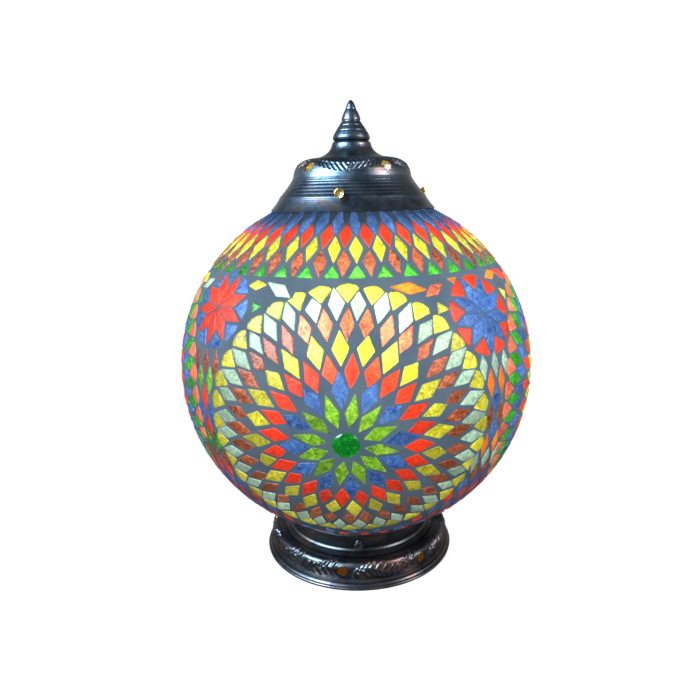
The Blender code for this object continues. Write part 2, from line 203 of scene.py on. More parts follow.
def add_band_row(layout, glass, low, widest, high, half_width, offset):
    """A row of upright diamonds round the shoulder of the globe, one every BAND_PITCH."""
    for index in range(round(360 / BAND_PITCH)):
        azimuth = BAND_AZIMUTH + BAND_PITCH * (index + offset) + layout.wobble(0.35)
        lean = layout.wobble(0.5)
        side = half_width * (1 + layout.wobble(0.06)) / math.cos(math.radians(widest))
        shift = layout.wobble(0.2)
        layout.add(glass, [
            direction(azimuth - lean, low + shift),
            direction(azimuth + side, widest + shift),
            direction(azimuth + lean, high + shift),
            direction(azimuth - side, widest + shift)])


# The rows of the band: glass, then lowest, widest and highest latitude, half-width, and shift in pitches
BAND_ROWS = (("blue", 53.2, 59.0, 66.5, 1.62, 0.0), ("red", 47.9, 53.0, 58.0, 1.70, 0.5),
             ("yellow", 42.9, 47.8, 52.4, 1.72, 0.0), ("copper", 38.2, 43.1, 47.3, 1.72, 0.5))


def add_band(layout):
    for row in BAND_ROWS:
        add_band_row(layout, *row)
    for index in range(round(360 / BAND_PITCH)):
        azimuth = BAND_AZIMUTH + BAND_PITCH * index + layout.wobble(0.3)
        side = 2.75 + layout.wobble(0.15)
        layout.add("green", [direction(azimuth, 42.0), direction(azimuth + side, 38.0),
                             direction(azimuth - side, 38.0)])


def add_leaf(layout, glass, azimuth, latitude, length, half_width, lean=0.0):
    """A lone diamond, with its long axis leaning clockwise from upright by lean degrees."""
    centre = direction(azimuth, latitude)
    layout.add(glass, [step_from(centre, length / 2, lean), step_from(centre, half_width, lean + 90),
                       step_from(centre, length / 2, lean + 180), step_from(centre, half_width, lean - 90)])


def add_chip(layout, glass, azimuth, latitude, reach, lean):
    """A lone triangle with one corner at the heading lean."""
    centre = direction(azimuth, latitude)
    layout.add(glass, [step_from(centre, reach, lean + turn) for turn in (0, 125, 235)])


def add_column(layout, azimuth, rows):
    """Interlocking upright diamonds in the gap between two medallions, given row by row from the top."""
    for glass, count, latitude in rows:
        for index in range(count):
            offset = (index - (count - 1) / 2) * 4.75 / math.cos(math.radians(latitude))
            add_leaf(layout, glass, azimuth + offset, latitude, 8.0, 1.5)


# The rows between two medallions: glass, count and latitude
LEFT_COLUMN = (("copper", 3, 11.6), ("lime", 2, 6.4), ("red", 1, 1.2), ("blue", 2, -3.4),
               ("red", 1, -8.0), ("green", 2, -12.6), ("copper", 3, -17.8), ("red", 2, -22.6))
RIGHT_COLUMN = (("mint", 3, 10.6), ("orange", 2, 5.4), ("blue", 1, 0.2), ("copper", 2, -4.4),
                ("blue", 1, -9.0), ("orange", 2, -13.6), ("mint", 3, -18.8), ("copper", 2, -23.6))
LOWER_GAP = (("blue", 3, -27.6), ("red", 4, -32.8), ("blue", 5, -38.0), ("red", 6, -43.2))


def add_lower_gap(layout, azimuth):
    """Red and blue diamonds that fill the widening gap below a column, down to the lower neck."""
    for glass, count, latitude in LOWER_GAP:
        pitch = 5.2 / math.cos(math.radians(latitude))
        for index in range(count):
            add_leaf(layout, glass, azimuth + (index - (count - 1) / 2) * pitch, latitude, 8.2, 1.55)


def add_foot_rows(layout):
    """Two rows of diamonds round the bottom of the globe, just above the gallery."""
    for glass, latitude, offset in (("blue", -50.6, 0.0), ("red", -56.0, 0.5)):
        for index in range(32):
            add_leaf(layout, glass, MEDALLION_AZIMUTH + (index + offset) * 360 / 32, latitude, 8.6, 1.6)


# The lone tiles above a medallion: beside it, further out, and the triangles, on its right and on its left
CORNER_GLASS = ((("orange", "copper", "orange", "yellow"), ("mint", "yellow", "green")),
                (("yellow", "mint", "copper", "green"), ("red", "orange", "yellow")))


def add_corners(layout, azimuth, odd):
    """The lone tiles that fill the corners between a medallion, the rosettes and the band above them."""
    right, left = CORNER_GLASS[odd]
    add_leaf(layout, right[0], azimuth + 20.5, 34.3, 10.6, 1.8, 98)
    add_leaf(layout, right[1], azimuth + 28.8, 33.4, 7.4, 1.6, 60)
    add_chip(layout, right[2], azimuth + 37.2, 35.4, 1.9, 60)
    add_chip(layout, right[3], azimuth + 29.4, 27.8, 2.2, 100)
    add_leaf(layout, left[0], azimuth - 21.0, 34.1, 10.2, 1.9, -62)
    add_leaf(layout, left[1], azimuth - 31.0, 35.2, 7.8, 1.5, -97)
    add_chip(layout, left[2], azimuth - 28.6, 28.9, 2.1, -40)


def lay_out_mosaic():
    layout = Layout(seed=7)
    add_band(layout)
    for quarter in range(4):
        odd = quarter % 2
        azimuth = MEDALLION_AZIMUTH + 90 * quarter
        add_medallion(layout, direction(azimuth, MEDALLION_LATITUDE), SIDE_GLASS if odd else FRONT_GLASS)
        rosette = direction(azimuth + 45, ROSETTE_LATITUDES[odd])
        add_rosette(layout, rosette, "red" if odd else "blue", "blue" if odd else "red", -17.0)
        add_column(layout, azimuth + 45, LEFT_COLUMN if odd else RIGHT_COLUMN)
        add_lower_gap(layout, azimuth + 45)
        add_corners(layout, azimuth, odd)
    add_foot_rows(layout)
    return layout.tiles


# Solids of the mosaic

def added(name, data):
    """A new object in the scene."""
    thing = bpy.data.objects.new(name, data)
    bpy.context.scene.collection.objects.link(thing)
    return thing


def new_piece(name, points, faces, material, body):
    """Mesh object that rides on a body and takes the material it is given."""
    mesh = bpy.data.meshes.new(name)
    mesh.from_pydata(points, [], faces)
    mesh.validate()
    piece = added(name, mesh)
    mesh.materials.append(material)
    mesh.shade_smooth()
    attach(piece, body)
    return piece


def softened(corners, reach=0.85 * MM):
    """Outline of a tile with each corner cut back and rounded."""
    outline = []
    count = len(corners)
    for index, corner in enumerate(corners):
        before, after = corners[index - 1], corners[(index + 1) % count]
        sides = []
        for other in (before, after):
            span = (other - corner).length * GLOBE_RADIUS
            sides.append(corner.lerp(other, min(reach / span, 0.22)))
        middle = (sides[0] + sides[1]) * 0.2 + corner * 0.6
        outline += [sides[0].normalized(), middle.normalized(), sides[1].normalized()]
    return outline


# Rings of a tile from its foot up to its face: inset from the outline and height over its face (metres)
TILE_RINGS = ((-0.06 * MM, TILE_LEVEL - TILE_FOOT), (-0.06 * MM, -0.60 * MM), (0.05 * MM, -0.24 * MM),
              (0.24 * MM, -0.06 * MM), (0.60 * MM, 0.0))
TILE_CORE = (0.62, 0.30)       # share of the face's size of its two innermost rings
RIPPLE_SIZE = 420.0            # ripples to the metre
RIPPLE_DEPTH = 0.13 * MM


def tile_solid(outline):
    """Points and faces of one flat piece of glass with rolled edges and a slightly rippled face."""
    middle = sum(outline, Vector()).normalized()
    up = normal_at(middle)
    base = place(middle, TILE_LEVEL)
    flat = []
    for ray in outline:
        point = place(ray, TILE_LEVEL)
        flat.append(point - up * (point - base).dot(up))
    heart = sum(flat, Vector()) / len(flat)
    reach = min(((a + b) / 2 - heart).length for a, b in zip(flat, flat[1:] + flat[:1]))
    reach = min(reach, min((point - heart).length for point in flat))
    scales = [(1 - inset / reach, height) for inset, height in TILE_RINGS]
    last = scales[-1][0]
    scales += [(last * share, 0.05 * MM) for share in TILE_CORE]
    points = []
    for number, (scale, height) in enumerate(scales):
        for point in flat:
            spot = heart + (point - heart) * scale
            ripple = noise.noise(spot * RIPPLE_SIZE) * RIPPLE_DEPTH if number > 3 else 0.0
            points.append(spot + up * (height + ripple))
    points.append(heart + up * (0.06 * MM + noise.noise(heart * RIPPLE_SIZE) * RIPPLE_DEPTH))
    count = len(flat)
    faces = [tuple(reversed(range(count)))]
    for ring in range(len(scales) - 1):
        start = ring * count
        for index in range(count):
            after = (index + 1) % count
            faces.append((start + index, start + after, start + count + after, start + count + index))
    top, start = len(points) - 1, (len(scales) - 1) * count
    faces += [(start + index, start + (index + 1) % count, top) for index in range(count)]
    return points, faces


def turned_out(outline):
    """The outline in anticlockwise order as seen from outside the globe."""
    middle = sum(outline, Vector())
    area = sum((a.cross(b) for a, b in zip(outline, outline[1:] + outline[:1])), Vector())
    return outline if area.dot(middle) > 0 else outline[::-1]


def flattened(ray):
    """Stereographic place of a direction, seen from the top, with the bottom of the globe in the middle."""
    return Vector((ray.x, ray.y)) / (1 - ray.z)


def unflattened(point):
    square = point.x ** 2 + point.y ** 2
    return Vector((2 * point.x, 2 * point.y, square - 1)) / (square + 1)


def flat_loop(rays):
    """The stereographic outline of some directions, in anticlockwise order."""
    flat = [flattened(ray) for ray in rays]
    area = sum(a.x * b.y - a.y * b.x for a, b in zip(flat, flat[1:] + flat[:1]))
    return flat if area > 0 else flat[::-1]


def grown(outline, share):
    middle = sum(outline, Vector()) / len(outline)
    return [middle.lerp(ray, share).normalized() for ray in outline]


def meetings(tiles):
    """Each place where two tiles would meet if both were a little larger: ((a tile, another), place)."""
    points, loops = [], []
    for colour, corners in tiles:
        loop = flat_loop(grown(corners, 1 + GROUT_LEAST))
        loops.append(list(range(len(points), len(points) + len(loop))))
        points += loop
    result = geometry.delaunay_2d_cdt(points, [], loops, 0, 1e-7, True)
    found = []
    for face, owner in zip(result[2], result[5]):
        if len(owner) > 1:
            middle = sum((unflattened(result[0][index]) for index in face), Vector()) / 3
            found.append((owner[:2], middle))
    return found


def parted(tiles):
    """The tiles with the corners that meet a neighbour cut back, in at most CUT_ROUNDS rounds.

    Two pairs, each a blue and a copper tile beside a side medallion, still overlap after the last round."""
    tiles = [(colour, list(corners)) for colour, corners in tiles]
    for attempt in range(CUT_ROUNDS):
        moves = set()
        for pair, spot in meetings(tiles):
            nearest = [min((corner - spot).length for corner in tiles[number][1]) for number in pair]
            number = pair[0] if nearest[0] <= nearest[1] else pair[1]
            corners = tiles[number][1]
            moves.add((number, min(range(len(corners)), key=lambda index: (corners[index] - spot).length)))
        if not moves:
            break
        for number, index in moves:
            corners = tiles[number][1]
            middle = sum(corners, Vector()) / len(corners)
            corners[index] = corners[index].lerp(middle, CUT_SHARE).normalized()
    print("tiles", len(tiles), "places still short of grout", len(meetings(tiles)))
    return tiles


def make_tiles(tiles, glass):
    """One object for each colour of glass, with a random tone stored on every tile."""
    chance = random.Random(11)
    for name in sorted({colour for colour, outline in tiles}):
        points, faces, tones = [], [], []
        for colour, outline in tiles:
            if colour != name:
                continue
            tile_points, tile_faces = tile_solid(outline)
            start = len(points)
            points += tile_points
            faces += [tuple(start + index for index in face) for face in tile_faces]
            tones += [chance.random()] * len(tile_faces)
        piece = new_piece(f"tiles_{name}", points, faces, glass[name], "globe")
        piece.data.set_sharp_from_angle(angle=math.radians(55))
        tone = piece.data.attributes.new("tone", "FLOAT", "FACE")
        tone.data.foreach_set("value", tones)
        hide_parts("mosaic_skin")


def level_circle(latitude):
    return [direction(360 * index / RIM_STEPS, latitude) for index in range(RIM_STEPS)]


def make_grout(outlines, material):
    """The web of grout between the tiles: a shell with a hole for every tile and gem."""
    points, loops = [], []

    def add_loop(rays):
        start = len(points)
        points.extend(flat_loop(rays))
        loops.append(list(range(start, len(points))))

    for outline in outlines:
        add_loop(outline)
    for quarter in range(4):
        centre = direction(MEDALLION_AZIMUTH + 90 * quarter, MEDALLION_LATITUDE)
        add_loop([step_from(centre, GEM_GROUT, -360 * index / GEM_STEPS) for index in range(GEM_STEPS)])
    add_loop(level_circle(BOTTOM_LATITUDE))
    border = len(points)
    points.extend(flattened(ray) for ray in level_circle(TOP_LATITUDE))
    edges = [(border + index, border + (index + 1) % RIM_STEPS) for index in range(RIM_STEPS)]
    result = geometry.delaunay_2d_cdt(points, edges, loops, 0, 1e-7, True)
    flat_points, triangles, owners = result[0], result[2], result[5]
    web = [face for face, owner in zip(triangles, owners) if not owner]
    rays = [unflattened(point) for point in flat_points]
    count = len(rays)
    shell = []
    for inset, grain in ((GROUT_LEVEL, GROUT_GRAIN), (GROUT_FOOT, 0.0)):
        for ray in rays:
            spot = place(ray, inset)
            shell.append(place(ray, inset + grain * noise.noise(spot * 300)))
    faces = [tuple(face) for face in web]
    uses = dict.fromkeys((a, b) for face in web for a, b in zip(face, face[1:] + face[:1]))
    faces += [tuple(count + index for index in reversed(face)) for face in web]
    faces += [(b, a, count + a, count + b) for a, b in uses if (b, a) not in uses]
    piece = new_piece("grout_web", shell, faces, material, "globe")
    cleanup = bmesh.new()
    cleanup.from_mesh(piece.data)
    loose = [vertex for vertex in cleanup.verts if not vertex.link_faces]
    bmesh.ops.delete(cleanup, geom=loose, context="VERTS")
    bmesh.ops.recalc_face_normals(cleanup, faces=cleanup.faces)
    cleanup.to_mesh(piece.data)
    cleanup.free()
    piece.data.set_sharp_from_angle(angle=math.radians(40))
    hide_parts("mosaic_skin")


# Materials

class Paint:
    """A material built from nodes, with short names for the nodes it uses."""

    def __init__(self, name):
        self.material = bpy.data.materials.new(name)
        self.material.use_nodes = True
        self.tree = self.material.node_tree
        self.shader = self.tree.nodes["Principled BSDF"]
        self.spot = self.new("ShaderNodeTexCoord").outputs["Object"]

    def new(self, kind, **settings):
        node = self.tree.nodes.new(kind)
        for key, value in settings.items():
            setattr(node, key, value)
        return node

    def feed(self, socket, value):
        """Links an output to a socket, or sets the socket to a constant."""
        if isinstance(value, bpy.types.NodeSocket):
            self.tree.links.new(value, socket)
        elif isinstance(value, tuple) and len(value) == 3 and socket.type == "RGBA":
            socket.default_value = (*value, 1.0)
        else:
            socket.default_value = value

    def set(self, **values):
        """Sets the main shader's inputs, named with _ in place of a space."""
        for key, value in values.items():
            self.feed(self.shader.inputs[key.replace("_", " ")], value)

    def math(self, operation, first, second):
        node = self.new("ShaderNodeMath", operation=operation)
        for socket, value in zip(node.inputs, (first, second)):
            self.feed(socket, value)
        return node.outputs[0]

    def stretched(self, scale):
        node = self.new("ShaderNodeMapping")
        self.feed(node.inputs["Vector"], self.spot)
        self.feed(node.inputs["Scale"], scale)
        return node.outputs[0]

    def noise(self, scale, detail=2.0, roughness=0.5, distortion=0.0, at=None):
        node = self.new("ShaderNodeTexNoise")
        self.feed(node.inputs["Vector"], at or self.spot)
        self.feed(node.inputs["Scale"], scale)
        self.feed(node.inputs["Detail"], detail)
        self.feed(node.inputs["Roughness"], roughness)
        self.feed(node.inputs["Distortion"], distortion)
        return node.outputs["Fac"]

    def cells(self, scale, at=None):
        node = self.new("ShaderNodeTexVoronoi")
        self.feed(node.inputs["Vector"], at or self.spot)
        self.feed(node.inputs["Scale"], scale)
        return node.outputs["Distance"]

    def span(self, value, low, high, new_low=0.0, new_high=1.0):
        """Rescales a value smoothly from one range to another."""
        node = self.new("ShaderNodeMapRange", interpolation_type="SMOOTHSTEP")
        for socket, number in zip(node.inputs, (value, low, high, new_low, new_high)):
            self.feed(socket, number)
        return node.outputs[0]

    def blend(self, factor, first, second):
        node = self.new("ShaderNodeMix", data_type="RGBA")
        self.feed(node.inputs[0], factor)
        self.feed(node.inputs[6], first)
        self.feed(node.inputs[7], second)
        return node.outputs[2]

    def scaled(self, colour, factor):
        node = self.new("ShaderNodeVectorMath", operation="SCALE")
        self.feed(node.inputs[0], colour)
        self.feed(node.inputs["Scale"], factor)
        return node.outputs[0]

    def bump(self, height, distance, strength=1.0):
        node = self.new("ShaderNodeBump")
        self.feed(node.inputs["Height"], height)
        self.feed(node.inputs["Distance"], distance)
        self.feed(node.inputs["Strength"], strength)
        self.feed(self.shader.inputs["Normal"], node.outputs[0])

    def part(self, axis):
        """One coordinate of the place on the object."""
        node = self.new("ShaderNodeSeparateXYZ")
        self.feed(node.inputs[0], self.spot)
        return node.outputs[axis]

    def attribute(self, name):
        return self.new("ShaderNodeAttribute", attribute_name=name).outputs["Fac"]

    def edge_wear(self, low, high):
        return self.span(self.new("ShaderNodeNewGeometry").outputs["Pointiness"], low, high)


# Linear colours of each glass: its body, its darker streaks, its lighter patches,
# then how strongly it is streaked (0 to 1) and how strongly its painted glow of the lit bulb shows (1 is full)
GLASSES = {
    "blue": ((0.045, 0.150, 0.440), (0.008, 0.028, 0.190), (0.180, 0.350, 0.640), 0.90, 0.90),
    "red": ((0.820, 0.040, 0.004), (0.520, 0.012, 0.001), (0.950, 0.120, 0.010), 0.60, 0.86),
    "orange": ((1.000, 0.240, 0.003), (0.700, 0.070, 0.002), (1.000, 0.470, 0.015), 0.65, 1.05),
    "yellow": ((0.640, 0.600, 0.020), (0.250, 0.240, 0.004), (0.920, 0.900, 0.170), 1.00, 0.95),
    "copper": ((0.400, 0.085, 0.024), (0.070, 0.012, 0.006), (0.740, 0.270, 0.085), 1.00, 0.80),
    "mint": ((0.430, 0.620, 0.460), (0.160, 0.290, 0.210), (0.800, 0.930, 0.780), 0.85, 0.84),
    "green": ((0.024, 0.340, 0.005), (0.004, 0.085, 0.002), (0.170, 0.620, 0.026), 1.00, 0.90),
    "lime": ((0.210, 0.470, 0.014), (0.030, 0.150, 0.004), (0.560, 0.780, 0.090), 1.00, 0.90),
    "salmon": ((0.780, 0.180, 0.080), (0.400, 0.060, 0.028), (0.950, 0.420, 0.240), 0.80, 0.95),
}


def bulb_glow(paint, top, foot):
    """The painted glow of the lit globe. It depends on height alone, and a painted shadow of the cap makes it
    faint just under the cap.
    """
    height = paint.part(2)
    # painted shadow of the cap: the glow fades to 0.18 just under the cap
    painted_cap_shadow = paint.span(height, 0.290, 0.299, 1.0, 0.18)
    return paint.math("MULTIPLY", paint.span(height, 0.02, 0.27, foot, top), painted_cap_shadow)


def glass_material(name):
    body, dark, light, streaks, clear = GLASSES[name]
    paint = Paint(f"{name} tile glass")
    tone = paint.attribute("tone")
    jump = paint.new("ShaderNodeCombineXYZ")
    paint.feed(jump.inputs[0], paint.math("MULTIPLY", tone, 3.0))
    shifted = paint.new("ShaderNodeVectorMath", operation="ADD")
    paint.feed(shifted.inputs[0], paint.spot)
    paint.feed(shifted.inputs[1], jump.outputs[0])
    spot = shifted.outputs[0]
    swirl = paint.noise(230, 4.0, 0.66, 1.4, at=spot)
    seeds = paint.cells(520, at=spot)
    shade = paint.blend(paint.math("MULTIPLY", paint.span(swirl, 0.53, 0.34), streaks), body, dark)
    shade = paint.blend(paint.math("MULTIPLY", paint.span(swirl, 0.51, 0.70), streaks), shade, light)
    shade = paint.blend(paint.span(seeds, 0.22, 0.05, 0.0, 0.35), shade, dark)
    shade = paint.scaled(shade, paint.span(tone, 0.0, 1.0, 0.78, 1.18))
    # emission: a painted glow of the lit bulb, by height, scaled by the glass's glow share (clear)
    lit = paint.scaled(shade, bulb_glow(paint, 0.96 * clear, 0.04 * clear))
    clear_glass = paint.blend(0.990, (1.0, 1.0, 1.0), paint.scaled(shade, 0.32))
    paint.set(Base_Color=clear_glass, Roughness=paint.span(swirl, 0.3, 0.7, 0.28, 0.46), IOR=1.30,
              Transmission_Weight=0.90, Emission_Color=lit, Emission_Strength=1.0,
              Specular_IOR_Level=0.05)
    height = paint.math("ADD", paint.noise(330, 3.0, 0.5, at=spot), paint.math("MULTIPLY", seeds, 0.6))
    paint.bump(height, 0.0006, 0.55)
    return paint.material


def grout_material():
    paint = Paint("blue grey grout")
    sand = paint.noise(2600, 3.0, 0.7)
    cloud = paint.noise(28, 3.0)
    grime = paint.cells(420)
    colour = paint.blend(paint.span(cloud, 0.35, 0.65), (0.082, 0.126, 0.172), (0.110, 0.162, 0.216))
    colour = paint.blend(paint.span(sand, 0.40, 0.66, 0.0, 0.55), colour, (0.058, 0.082, 0.118))
    colour = paint.blend(paint.span(grime, 0.16, 0.04, 0.0, 0.5), colour, (0.026, 0.034, 0.050))
    # emission: a painted glow of the lit bulb, by height
    lit = paint.scaled(colour, bulb_glow(paint, 1.35, 0.05))
    paint.set(Base_Color=colour, Roughness=paint.span(sand, 0.3, 0.7, 0.66, 0.92), Emission_Color=lit,
              Emission_Strength=1.0, Specular_IOR_Level=0.06)
    paint.bump(paint.math("ADD", sand, paint.math("MULTIPLY", cloud, 2.0)), 0.00035, 0.6)
    return paint.material


def globe_glass_material():
    paint = Paint("clear blown glass")
    ripple = paint.noise(38, 2.0, 0.5, 0.6)
    paint.set(Base_Color=paint.blend(ripple, (0.86, 0.92, 0.92), (0.80, 0.88, 0.90)),
              Roughness=paint.span(ripple, 0.3, 0.7, 0.03, 0.08), IOR=1.5, Alpha=0.16)
    paint.bump(ripple, 0.002, 0.3)
    return paint.material


def gem_material():
    """Moulded green glass with dark and bright swirls and a painted glow."""
    paint = Paint("green cabochon glass")
    swirl = paint.noise(230, 3.0, 0.55, 2.4)
    colour = paint.blend(paint.span(swirl, 0.50, 0.68), (0.000, 0.190, 0.016), (0.010, 0.420, 0.030))
    colour = paint.blend(paint.span(swirl, 0.45, 0.28), colour, (0.0, 0.035, 0.004))
    paint.set(Base_Color=colour, Roughness=0.16, IOR=1.5, Transmission_Weight=0.35,
              Emission_Color=paint.scaled(colour, 0.55), Emission_Strength=1.0, Specular_IOR_Level=0.2)
    paint.bump(swirl, 0.0005, 0.25)
    return paint.material


def dimmed(colour, share):
    return tuple(share * value for value in colour)


def antique_metal_material(name, dark, light, brown):
    """Pressed metal with a dark finish, rubbed through to copper brown and to bright edges."""
    paint = Paint(name)
    cloud = paint.noise(34, 5.0, 0.6, 0.8)
    speck = paint.noise(420, 4.0, 0.65)
    lines = paint.noise(1.0, 3.0, 0.6, at=paint.stretched((22.0, 22.0, 1500.0)))
    colour = paint.blend(paint.span(cloud, 0.35, 0.65), dark, light)
    colour = paint.blend(paint.span(cloud, 0.52, 0.70, 0.0, 0.8), colour, brown)
    colour = paint.blend(paint.span(speck, 0.58, 0.75, 0.0, 0.4), colour, dimmed(dark, 0.5))
    wear = paint.math("MULTIPLY", paint.edge_wear(0.515, 0.60), paint.span(speck, 0.35, 0.6, 0.25, 0.8))
    colour = paint.blend(wear, colour, (0.240, 0.250, 0.270))
    colour = paint.blend(paint.edge_wear(0.485, 0.42), colour, (0.014, 0.014, 0.018))
    paint.set(Base_Color=colour, Metallic=0.92, Roughness=paint.span(speck, 0.3, 0.75, 0.30, 0.42),
              Coat_Weight=0.20, Coat_Roughness=0.20)
    paint.bump(paint.math("ADD", lines, paint.math("MULTIPLY", speck, 0.3)), 0.00013, 0.35)
    return paint.material


def gilt_with_painted_glow_material(name, colour, glow):
    """Inside wall of the pressed metal. Its glow is painted, in place of the light of the bulb."""
    paint = Paint(name)
    patch = paint.noise(160, 3.0)
    shade = paint.blend(patch, colour, dimmed(colour, 0.45))
    paint.set(Base_Color=shade, Metallic=0.4, Roughness=0.42, Emission_Color=paint.scaled(shade, glow),
              Emission_Strength=1.0)
    paint.bump(patch, 0.0003, 0.3)
    return paint.material


def plain_metal_material(name, colour, roughness):
    paint = Paint(name)
    lines = paint.noise(1.0, 3.0, 0.6, at=paint.stretched((900.0, 900.0, 900.0)))
    stain = paint.noise(90, 3.0)
    shade = paint.blend(paint.span(stain, 0.4, 0.7, 0.0, 0.55), colour, dimmed(colour, 0.55))
    wear = paint.edge_wear(0.52, 0.60)
    shade = paint.blend(wear, shade, tuple(min(1.0, 1.25 * v) for v in colour))
    paint.set(Base_Color=shade, Metallic=1.0,
              Roughness=paint.span(lines, 0.3, 0.7, roughness, roughness + 0.18))
    paint.bump(lines, 0.0001, 0.4)
    return paint.material


def dull_material(name, colour, roughness, scale, depth, coarse=0.5, glow=0.0):
    """Felt, board, rubber, plastic or ceramic, with its grain at its own scale."""
    paint = Paint(name)
    grain = paint.noise(scale, 4.0, 0.7)
    patch = paint.noise(scale / 12, 2.0)
    shade = paint.blend(paint.span(grain, 0.35, 0.7), colour, dimmed(colour, coarse))
    shade = paint.blend(paint.span(patch, 0.45, 0.75, 0.0, 0.4), shade, dimmed(colour, 0.7))
    paint.set(Base_Color=shade, Roughness=paint.span(grain, 0.3, 0.7, roughness, min(1.0, roughness + 0.12)))
    if glow:
        paint.set(Emission_Color=(1.0, 0.84, 0.60), Emission_Strength=glow)
    paint.bump(grain, depth, 0.5)
    return paint.material


# Turned and pressed metalwork. Outlines are (radius, height) in millimetres, from the top down.

def curve_points(start, middle, end, steps=10):
    """A quadratic curve without its last point."""
    points = []
    for step in range(steps):
        t = step / steps
        points.append(tuple((1 - t) ** 2 * a + 2 * t * (1 - t) * b + t * t * c
                            for a, b, c in zip(start, middle, end)))
    return points


CAP_OUTLINE = ([(3.6, 358.0), (14.8, 358.0)]
               + curve_points((15.9, 356.8), (17.0, 348.6), (29.0, 345.6))
               + curve_points((29.0, 345.6), (47.0, 345.4), (48.5, 330.8))
               + [(48.5, 330.8)]
               + curve_points((49.6, 328.6), (53.5, 322.6), (60.0, 315.6))
               + curve_points((60.0, 315.6), (62.6, 310.4), (68.0, 305.0))
               + [(68.0, 305.0)])
FOOT_OUTLINE = ([(5.6, 20.3), (69.0, 20.3), (72.2, 20.8)]
                + curve_points((74.6, 22.0), (81.6, 21.8), (80.3, 13.0))
                + curve_points((80.3, 13.0), (79.9, 9.2), (78.6, 7.0))
                + [(78.6, 7.0), (80.6, 6.0), (81.0, 4.8), (82.9, 4.2), (83.6, 3.0), (85.2, 2.2),
                   (85.6, 1.3), (85.4, 0.3)])
GALLERY_OUTLINE = [(63.6, 38.2), (64.3, 37.5), (63.7, 36.6), (63.6, 25.5), (64.8, 23.9), (66.8, 23.0),
                   (66.7, 22.3), (68.2, 21.6), (67.6, 20.6), (5.6, 20.6)]
FINIAL_OUTLINE = (curve_points((0.0, 390.0), (2.6, 389.4), (4.2, 383.6))
                  + curve_points((4.6, 382.6), (6.8, 379.0), (7.9, 375.0))
                  + curve_points((7.6, 373.6), (10.8, 369.6), (14.0, 364.2))
                  + [(14.6, 362.9), (15.2, 361.2), (14.8, 359.6), (13.6, 358.3)])


def filled_in(outline, step):
    """The outline with points added so that no run is longer than step, and how far along each point lies."""
    points, reach, walked = [outline[0]], [0.0], 0.0
    for before, after in zip(outline, outline[1:]):
        length = math.dist(before, after)
        parts = max(1, math.ceil(length / step))
        for part in range(1, parts + 1):
            points.append(tuple(a + (b - a) * part / parts for a, b in zip(before, after)))
            reach.append(walked + length * part / parts)
        walked += length
    return points, reach


def outward_normals(outline):
    """Normals that point away from the axis on a wall that runs downwards."""
    normals = []
    for index in range(len(outline)):
        before, after = outline[max(index - 1, 0)], outline[min(index + 1, len(outline) - 1)]
        across, along = after[0] - before[0], after[1] - before[1]
        length = math.hypot(across, along) or 1.0
        normals.append((-along / length, across / length))
    return normals


def pressed_shell(name, outline, wall, columns, step, relief, paints, body, node):
    """A turned shell of sheet metal, with its outside raised by relief(azimuth, radius, height)."""
    outside, reach = filled_in(outline, step)
    normals = outward_normals(outside)
    inside_run = filled_in(outline, 4.0)[0]
    inside = [(r - wall * n[0], z - wall * n[1])
              for (r, z), n in zip(inside_run, outward_normals(inside_run))]
    profile = outside + inside[::-1]
    points = []
    for column in range(columns):
        azimuth = 360.0 * column / columns
        turn = math.radians(azimuth)
        for index, (radius, height) in enumerate(profile):
            if index < len(outside):
                rise = relief(azimuth, radius, height)
                radius += rise * normals[index][0]
                height += rise * normals[index][1]
            points.append((radius * MM * math.sin(turn), -radius * MM * math.cos(turn), height * MM))
    rows = len(profile)
    faces, inner = [], []
    for column in range(columns):
        start, after = column * rows, (column + 1) % columns * rows
        for row in range(rows):
            below = (row + 1) % rows
            faces.append((start + row, start + below, after + below, after + row))
            inner.append(1 if len(outside) + 1 < row < rows - 1 else 0)
    piece = new_piece(name, points, faces, paints[0], body)
    piece.data.materials.append(paints[1])
    piece.data.polygons.foreach_set("material_index", inner)
    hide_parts(node)
    return piece


def turned_solid(name, outline, columns, step, material, body, node, relief=None, frame_at=None):
    """A solid of revolution. The outline ends on the axis at both ends."""
    profile = filled_in(outline, step)[0]
    normals = outward_normals(profile)
    frame_at = frame_at or Matrix.Identity(4)
    points, rings = [], []
    for index, (radius, height) in enumerate(profile):
        ring = []
        for column in range(columns if radius > 1e-6 else 1):
            azimuth = 360.0 * column / columns
            rise = relief(azimuth, radius, height) if relief and radius > 1e-6 else 0.0
            wide, high = radius + rise * normals[index][0], height + rise * normals[index][1]
            turn = math.radians(azimuth)
            spot = Vector((wide * math.sin(turn), -wide * math.cos(turn), high)) * MM
            ring.append(len(points))
            points.append(frame_at @ spot)
        rings.append(ring)
    faces = []
    for upper, lower in zip(rings, rings[1:]):
        for column in range(columns):
            after = (column + 1) % columns
            corners = [upper[column % len(upper)], lower[column % len(lower)], lower[after % len(lower)],
                       upper[after % len(upper)]]
            faces.append(tuple(dict.fromkeys(corners)))
    piece = new_piece(name, points, faces, material, body)
    piece.data.set_sharp_from_angle(angle=math.radians(38))
    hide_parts(node)


